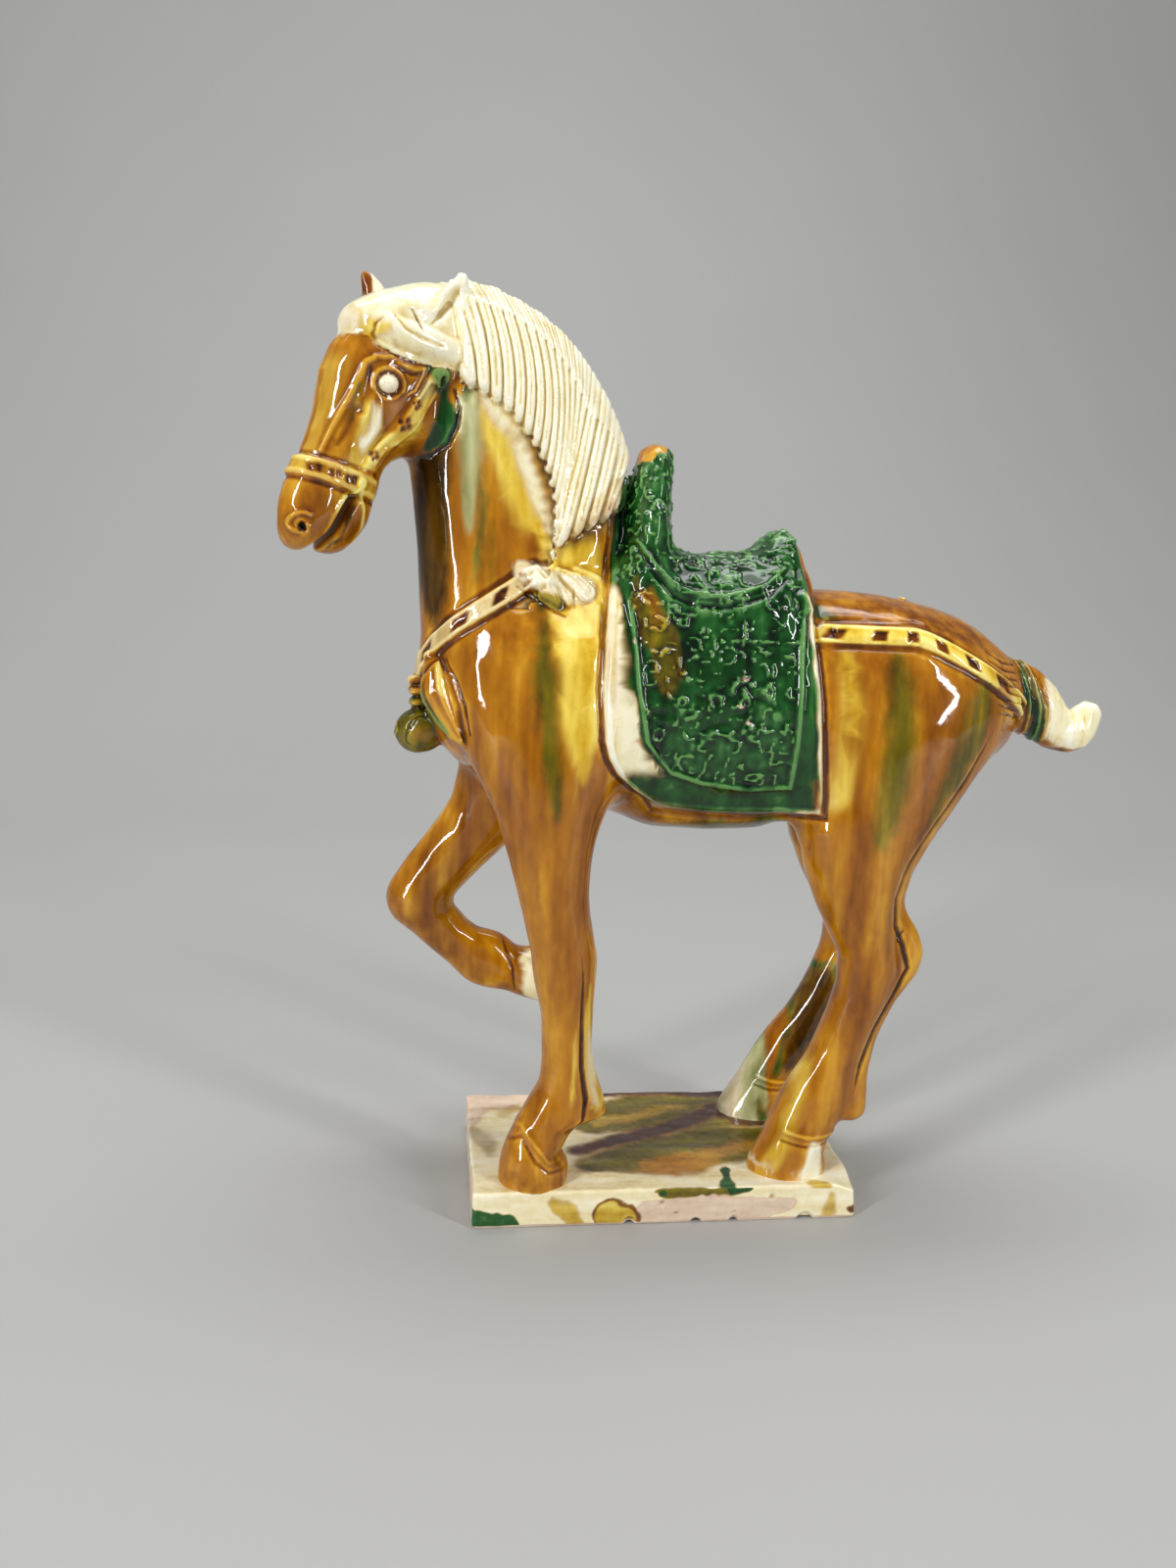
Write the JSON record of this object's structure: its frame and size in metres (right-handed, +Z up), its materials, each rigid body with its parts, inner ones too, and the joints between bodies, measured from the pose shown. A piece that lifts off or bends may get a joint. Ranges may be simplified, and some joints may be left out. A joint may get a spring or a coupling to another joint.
{
  "type": "glazed ceramic horse figure",
  "caption": "Standing horse with one foreleg raised, saddled and harnessed, in streaked three-colour glaze on a rectangular slab; a shelf ornament.",
  "frame": {"origin": "centre of the slab's underside", "axes": "+X along the slab towards the tail, +Y from the near flank to the far flank, +Z up"},
  "size_m": [0.2614, 0.0683, 0.2788],
  "materials": {
    "three_colour_glaze": "gloss"
  },
  "bodies": {
    "root": {"horse_figure": "three_colour_glaze"}
  },
  "joints": []
}
